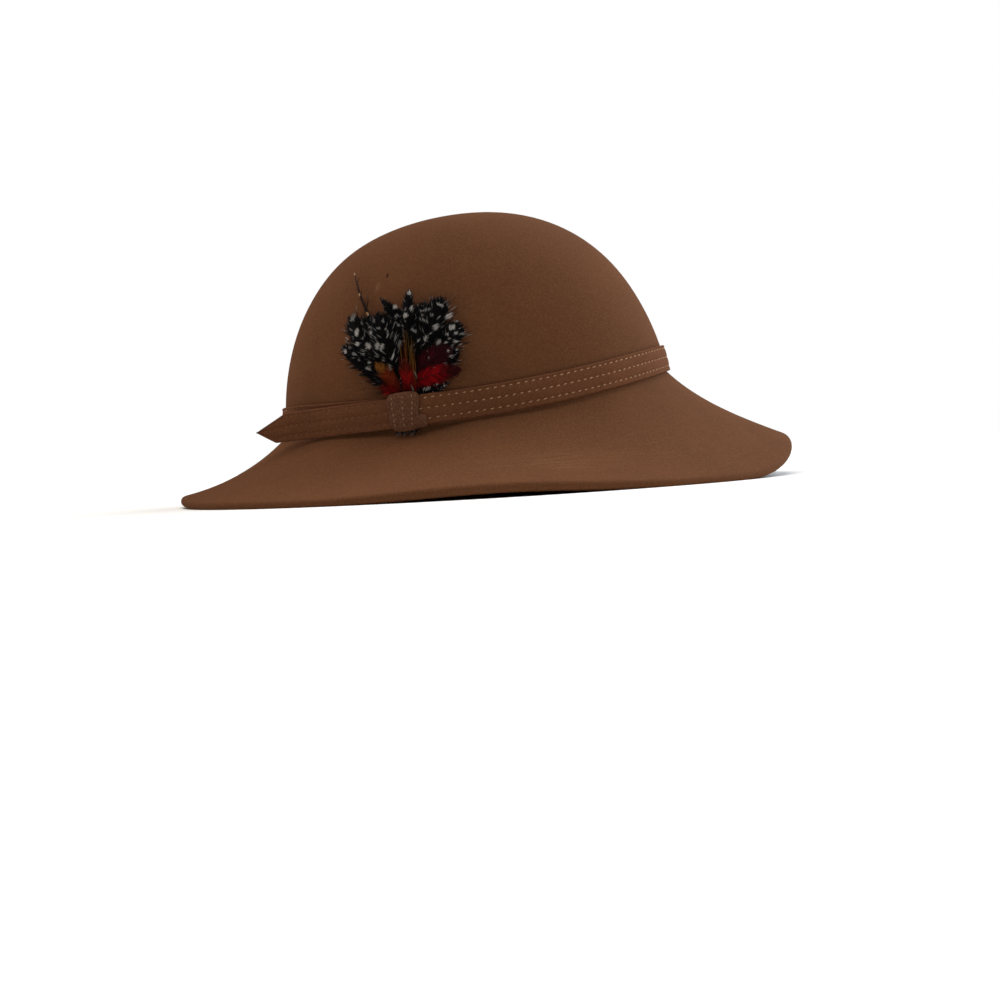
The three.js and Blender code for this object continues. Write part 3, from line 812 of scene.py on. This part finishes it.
def barbReach(feather, start, slant):  # out to the vane's edge, by halving steps
    lateral = 0
    step = feather["width"] / 2
    for halving in range(barb["halvings"]):
        step /= 2
        along = start + (lateral + step) / slant / reachOf(feather)
        if lateral + step < 0.5 * vaneWidth(feather, along):
            lateral += step
    return max(barb["shortest"], lateral)


def addBarbs(strands, feather):
    reach = reachOf(feather)
    count = int(reach / barb["spacing"])
    loose = feather["loose"]
    straight, bowed = barb["bow"]
    for sideways in (-1, 1):
        clumps = range(count // barb["clump"] + 1)
        parting = [rng.uniform(-barb["parting"], barb["parting"]) * loose for clump in clumps]
        for i in range(count):
            start = mix(0.0, barb["lastStart"], (i + rng.random()) / count)
            degrees = mix(barb["slantLow"], barb["slantHigh"], start * start) + parting[i // barb["clump"]]
            slant = math.tan(math.radians(degrees + rng.uniform(-barb["slantVaries"], barb["slantVaries"])))
            lateral = barbReach(feather, start, slant) * rng.uniform(*barb["reachVaries"])
            if rng.random() < barb["strays"] * loose:
                lateral *= rng.uniform(*barb["strayReach"])
            curl = rng.uniform(*barb["curl"]) * loose
            stray = (rng.gauss(0, barb["spotStray"]), rng.gauss(0, barb["spotStray"]))
            shade = rng.uniform(*barb["shades"])
            # where on its length a barb has a fleck of white, past its end for most
            fleckAt = rng.uniform(*barb["fleckAt"]) if feather["kind"] == "guinea" else barb["noFleck"]
            places = []
            for j in range(barb["steps"] + 1):
                t = j / barb["steps"]
                along = start + lateral * t / slant * (straight + bowed * t) / reach
                along = min(barb["furthest"], along)
                raised = barb["raised"] + curl * t * t
                place = featherPlace(feather, along, sideways * lateral * t, raised, stray)
                place["dye"] = [shade * d for d in place["dye"][:3]] + [1]
                fade = ease(abs(t - fleckAt), barb["fleckFrom"], barb["fleckTo"])
                place["mark"] = max(place["mark"], barb["fleck"] - barb["fleck"] * fade)
                places.append(place)
            addStrand(strands, places, barb["width"], barb["depth"], barb["thins"])


def makeBarbs(name, kinds, material):
    strands = newStrands()
    for feather in feathers:
        if feather["kind"] in kinds:
            addBarbs(strands, feather)
    addStrandPiece(name, strands, material, "feather_plume")


# A strand by itself, through places on the crown
looseStrand = {"steps": 14, "patternLength": 40, "depth": 0.6, "thins": 0.2}


def addLooseStrand(strands, route, kind, width, lifts, shade=1.0):
    places = []
    a, b, c = [Vector(p) for p in route]
    for i in range(looseStrand["steps"] + 1):
        t = i / looseStrand["steps"]
        spot = a.lerp(b, t).lerp(b.lerp(c, t), t)
        place = onPlume(spot.x, spot.y, mix(lifts[0], lifts[1], t))
        place["vane"] = (looseStrand["patternLength"] * t, 0)
        place["dye"] = [shade * d for d in dyeAt(kind, t)[:3]] + [1]
        place["mark"] = 0
        places.append(place)
    addStrand(strands, places, width, width * looseStrand["depth"], looseStrand["thins"])
    return places


# Loose strands: gold over red in the middle, dark wisps low at the back, down under the loop
wisps = {
    "gold": {
        "count": 40, "foot": 2.2, "footSpread": 3.2, "footUp": (14.6, 16), "tip": 4.0, "tipSpread": 3.8,
        "tipVaries": 0.6, "tipUp": (28, 42), "droop": 3, "kneeVaries": 0.5,
        "kinds": ("gold", "gold", "russet"), "width": (0.3, 0.5), "lift": 0.9, "tipLift": (5, 7),
        "shades": (0.4, 1.7),
    },
    "pale": {
        "routes": (((6.9, 19.8), (6.9, 21.4), (6.4, 23.2)), ((4.8, 14.4), (4.9, 15.6), (4.5, 17.2))),
        "width": 0.7, "lifts": (5.0, 6.6), "shade": 0.45,
    },
    "dark": {
        "count": 22, "foot": (-5, 16), "knee": (-9, 17), "kneeFollows": 0.6, "tipSide": (-23, -13),
        "tipUp": (13.8, 25), "width": 0.23, "lift": 1.0, "tipLift": (2, 5), "shades": (1, 3),
    },
    "down": {
        "count": 90, "foot": (-6.5, 4), "footUp": -0.8, "kneeVaries": 1, "kneeUp": -2.4, "tipVaries": 2,
        "tipUp": (-4.8, -2.6), "width": 0.28, "lift": 3.0, "tipLift": (2.4, 6.2),
        "shades": (0.1, 0.2, 0.5, 1.2, 2.6),
    },
}


def addGoldWisps(strands):
    look = wisps["gold"]
    for i in range(look["count"]):
        lean = rng.uniform(-1, 1)
        foot = (look["foot"] + look["footSpread"] * lean, rng.uniform(*look["footUp"]))
        tipSide = look["tip"] + look["tipSpread"] * lean + rng.uniform(-look["tipVaries"], look["tipVaries"])
        tip = (tipSide, rng.uniform(*look["tipUp"]) - look["droop"] * abs(lean))
        kneeSide = mix(foot[0], tip[0], 0.5) + rng.uniform(-look["kneeVaries"], look["kneeVaries"])
        knee = (kneeSide, mix(foot[1], tip[1], 0.5))
        kind = rng.choice(look["kinds"])
        width = rng.uniform(*look["width"])
        lifts = (look["lift"], rng.uniform(*look["tipLift"]))
        addLooseStrand(strands, (foot, knee, tip), kind, width, lifts, rng.uniform(*look["shades"]))


def addDarkWisps(strands):
    look = wisps["dark"]
    for i in range(look["count"]):
        up = rng.uniform(*look["tipUp"])
        tip = (rng.uniform(*look["tipSide"]), up)
        knee = (look["knee"][0], mix(look["knee"][1], up, look["kneeFollows"]))
        lifts = (look["lift"], rng.uniform(*look["tipLift"]))
        shade = rng.uniform(*look["shades"])
        addLooseStrand(strands, (look["foot"], knee, tip), "guinea", look["width"], lifts, shade)


def addDownWisps(strands):
    look = wisps["down"]
    for i in range(look["count"]):
        side = rng.uniform(*look["foot"])
        tip = (side + rng.uniform(-look["tipVaries"], look["tipVaries"]), rng.uniform(*look["tipUp"]))
        shade = rng.choice(look["shades"])
        knee = (side + rng.uniform(-look["kneeVaries"], look["kneeVaries"]), look["kneeUp"])
        lifts = (look["lift"], rng.uniform(*look["tipLift"]))
        addLooseStrand(strands, ((side, look["footUp"]), knee, tip), "down", look["width"], lifts, shade)


def makeLooseStrands(material):
    strands = newStrands()
    addGoldWisps(strands)
    pale = wisps["pale"]
    for route in pale["routes"]:
        addLooseStrand(strands, route, "pale", pale["width"], pale["lifts"], pale["shade"])
    addDarkWisps(strands)
    addDownWisps(strands)
    addStrandPiece("looseStrands", strands, material)


# Shafts, and one feather stripped to its quill, with pale flecks
bareQuill = {
    "route": ((-10, 40), (-18.6, 54.5), (-31.6, 70.4)), "width": 2.0, "lifts": (3.0, 4.4),
    "fork": ((-16.5, 49), (-18.4, 53.5), (-17.2, 58)), "forkWidth": 0.9, "forkLifts": (3.6, 5.0),
    "barbs": 8, "firstBarb": 6, "barbAside": (-2.2, 2.6), "barbUp": (2.5, 6), "barbWidth": 0.42,
    "barbLifts": (4.2, 4.6), "barbShade": 0.7, "barbKnee": (0.6, 0.4),
    "flecks": ((-31.2, 70.0, 1.2), (-23.4, 60.0, 1.1), (-16.6, 50.8, 1.3)),  # along, up, size
    "fleckLift": 4.5, "fleckLength": 1.9, "fleckWidth": 0.85, "fleckHeight": 0.6, "fleckLean": 25,
    "fleckAhead": (-1, 1.4),
}


def makeShafts(material):
    strands = newStrands()
    steps = vane["shaftSteps"]
    for feather in feathers:
        if feather["kind"] not in ("orange", "hackle"):
            shares = [vane["shaftEnds"] * i / steps for i in range(steps + 1)]
            places = [featherPlace(feather, share, 0, vane["shaftRaised"]) for share in shares]
            for place in places:
                place["dye"] = linear(vane["shaftColour"])
                place["mark"] = 0
            addStrand(strands, places, vane["shaft"], vane["shaft"], vane["shaftThins"])
    quill = addLooseStrand(strands, bareQuill["route"], "quill", bareQuill["width"], bareQuill["lifts"])
    addLooseStrand(strands, bareQuill["fork"], "quill", bareQuill["forkWidth"], bareQuill["forkLifts"])
    for i in range(bareQuill["barbs"]):
        foot = quill[bareQuill["firstBarb"] + i]
        side, up = foot["side"], foot["up"]
        tip = (side + rng.uniform(*bareQuill["barbAside"]), up + rng.uniform(*bareQuill["barbUp"]))
        knee = [mix(a, b, share) for a, b, share in zip((side, up), tip, bareQuill["barbKnee"])]
        route = ((side, up), knee, tip)
        addLooseStrand(
            strands, route, "quill", bareQuill["barbWidth"], bareQuill["barbLifts"], bareQuill["barbShade"],
        )
    addStrandPiece("featherShafts", strands, material)


def makeQuillFlecks(material):
    bm = bmesh.new()
    lift = bareQuill["fleckLift"]
    aheadSide, aheadUp = bareQuill["fleckAhead"]
    for side, up, size in bareQuill["flecks"]:
        place = onPlume(side, up, lift)
        ahead = (onPlume(side + aheadSide, up + aheadUp, lift)["point"] - place["point"]).normalized()
        length = size * bareQuill["fleckLength"]
        width = size * bareQuill["fleckWidth"]
        lean = rng.uniform(-bareQuill["fleckLean"], bareQuill["fleckLean"])
        addStitch(bm, place["point"], place["out"], ahead, length, width, bareQuill["fleckHeight"], lean)
    addPiece("quillFlecks", meshFrom(bm, "quillFlecks"), material)


# Feather: fine barbs side by side, nearly dull, with bars of light and dark along them
featherLook = {
    "barSize": 0.5, "barStretch": 0.2, "bars": (0.3, 0.7), "barShades": (0.45, 1.4), "wornWhite": "#857f78",
    "bump": 0.35, "bumpDepth": 0.15, "specular": 0.05,
}


def featherMaterial(name, white, roughness):
    material, tree = newMaterial(name)
    dye = addNode(tree, "Attribute", attribute_name="dye").outputs["Color"]
    mark = addNode(tree, "Attribute", attribute_name="mark").outputs["Fac"]
    uv = addNode(tree, "UVMap", uv_map="vane").outputs[0]
    barScale = (1 / featherLook["barSize"], featherLook["barStretch"], 1)
    barPlace = addNode(tree, "Mapping", {"Vector": uv, "Scale": barScale})
    bars = addNode(tree, "TexNoise", {
        "Vector": barPlace.outputs[0], "Scale": 1, "Detail": 2,
    }, noise_dimensions="2D")
    low, high = featherLook["bars"]
    dark, pale = featherLook["barShades"]
    shade = addNode(tree, "MapRange", {
        "Value": bars.outputs["Fac"], "From Min": low, "From Max": high, "To Min": dark, "To Max": pale,
    })
    ground = addNode(tree, "Mix", {
        "Factor": 1.0, colourA: dye, colourB: shade.outputs[0],
    }, data_type="RGBA", blend_type="MULTIPLY")
    worn = addNode(tree, "Mix", {
        "Factor": bars.outputs["Fac"], colourA: linear(featherLook["wornWhite"]), colourB: linear(white),
    }, data_type="RGBA")
    colour = addNode(tree, "Mix", {
        "Factor": mark, colourA: ground.outputs[mixed], colourB: worn.outputs[mixed],
    }, data_type="RGBA")
    bump = addNode(tree, "Bump", {
        "Height": bars.outputs["Fac"], "Strength": featherLook["bump"],
        "Distance": featherLook["bumpDepth"] * mm,
    })
    finishMaterial(tree, addNode(tree, "BsdfPrincipled", {
        "Base Color": colour.outputs[mixed], "Normal": bump.outputs[0], "Roughness": roughness,
        "Specular IOR Level": featherLook["specular"],
    }))
    return material


# Floor of matt pale card, soft light and camera
stage = {
    "floorSize": 40, "floorColour": "#f6f5f3", "floorRoughness": 0.9, "floorSpecular": 0.1, "worldFill": 0.06,
    "lightAngle": 50, "cameraAt": (-527.9, 39.6, 15.3), "cameraAim": (0, -4.8, -6.4), "cameraRoll": -3.26,
    "lens": 36, "sensor": 36, "nearest": 1,
}
studioLights = {  # the way to the light, strength, colour
    "key": ((0.2, -0.85, 0.49), 3.25, "#eef7ff"),
    "back": ((0.3, 0.64, 0.71), 1.25, "#fff4ec"),
    "top": ((0.1, 0, 0.99), 2.0, "#fffdfa"),
}


def makeFloor():
    bm = bmesh.new()
    bmesh.ops.create_grid(bm, x_segments=1, y_segments=1, size=stage["floorSize"] / 2)
    mesh = bpy.data.meshes.new("floor")
    bm.to_mesh(mesh)
    bm.free()
    floor = bpy.data.objects.new("floor", mesh)
    bpy.context.scene.collection.objects.link(floor)
    material, tree = newMaterial("paleFloor")
    finishMaterial(tree, addNode(tree, "BsdfPrincipled", {
        "Base Color": linear(stage["floorColour"]), "Roughness": stage["floorRoughness"],
        "Specular IOR Level": stage["floorSpecular"],
    }))
    mesh.materials.append(material)


def makeLight():
    world = bpy.data.worlds.new("studio")
    bpy.context.scene.world = world
    world.use_nodes = True
    tree = world.node_tree
    tree.nodes.clear()
    seen = addNode(tree, "LightPath").outputs["Is Camera Ray"]
    strength = addNode(tree, "MapRange", {"Value": seen, "To Min": stage["worldFill"], "To Max": 1.0})
    backdrop = addNode(tree, "Background", {"Color": (1, 1, 1, 1), "Strength": strength.outputs[0]})
    addNode(tree, "OutputWorld", {"Surface": backdrop.outputs[0]})
    for name, (direction, energy, colour) in studioLights.items():
        light = bpy.data.lights.new(name + "Light", "SUN")
        light.energy = energy
        light.color = linear(colour)[:3]
        light.angle = math.radians(stage["lightAngle"])
        lamp = bpy.data.objects.new(name + "Light", light)
        lamp.rotation_euler = Vector(direction).to_track_quat("Z", "Y").to_euler()
        bpy.context.scene.collection.objects.link(lamp)


def makeCamera():
    camera = bpy.data.cameras.new("camera")
    camera.lens = stage["lens"]
    camera.sensor_width = stage["sensor"]
    camera.clip_start = stage["nearest"] * mm
    holder = bpy.data.objects.new("camera", camera)
    at = Vector(stage["cameraAt"]) * mm
    aim = Vector(stage["cameraAim"]) * mm
    level = (at - aim).to_track_quat("Z", "Y").to_matrix()
    roll = Matrix.Rotation(math.radians(stage["cameraRoll"]), 3, "Z")
    holder.rotation_euler = (level @ roll).to_euler()
    holder.location = at
    bpy.context.scene.collection.objects.link(holder)
    bpy.context.scene.camera = holder
    bpy.context.scene.view_settings.view_transform = "Standard"


bodyFelt = woolFelt("blockedWoolFelt", "#563621", "#663f27", "#7a5236", 0.9, 0.5, feltWear)
strapFelt = woolFelt("strapWoolFelt", "#583622", "#6b412a", "#82563b", 0.8, 0.6)
keeperFelt = woolFelt("keeperWoolFelt", "#4d2e1e", "#5f3c29", "#84604a", 0.7, 0.75)
creamThread = cottonThread("creamCotton", "#c9a57f", "#9c7552")
tanThread = cottonThread("tanCotton", "#b08c6c", "#80603f")
brownThread = cottonThread("brownCotton", "#8a6443", "#583823")
guineaFeather = featherMaterial("guineaFowlFeather", "#e0dad2", 0.55)
dyedFeather = featherMaterial("dyedCockHackle", "#cfc8c0", 0.5)
print("materials made")

makeFeltBody(bodyFelt)
makeStrap(strapFelt)
underTail, clearOfTail = stitch["underTail"], stitch["clearOfTail"]
tailFrom = 360 + quillTurn + stitch["behindLoop"]  # on the second time round
pastTurns = strap["leaves"] + 1  # never reached, so the tail's own length ends its rows
lowRow, middleRow, topRow = strap["seamRows"]
makeStrapStitches("lowStitches", creamThread, underTail, tailFrom, (lowRow, middleRow))
makeStrapStitches("topStitches", creamThread, clearOfTail, tailFrom, (topRow,))
makeStrapStitches("lappedStitches", brownThread, underTail, clearOfTail, (topRow,))
makeStrapStitches("tailStitches", brownThread, tailFrom, pastTurns, strap["seamRows"])
makeKeeper(keeperFelt)
makeKeeperLap(keeperFelt)
makeKeeperStitches(tanThread)
makeVanes("spottedVanes", ("guinea",), guineaFeather)
makeBarbs("spottedBarbs", ("guinea",), guineaFeather)
makeVanes("dyedVanes", ("wine", "red"), dyedFeather)
makeBarbs("dyedBarbs", ("wine", "red", "orange", "hackle"), dyedFeather)
makeLooseStrands(dyedFeather)
makeShafts(dyedFeather)
makeQuillFlecks(tanThread)
makeFloor()
makeLight()
makeCamera()
print("floor, light and camera made")
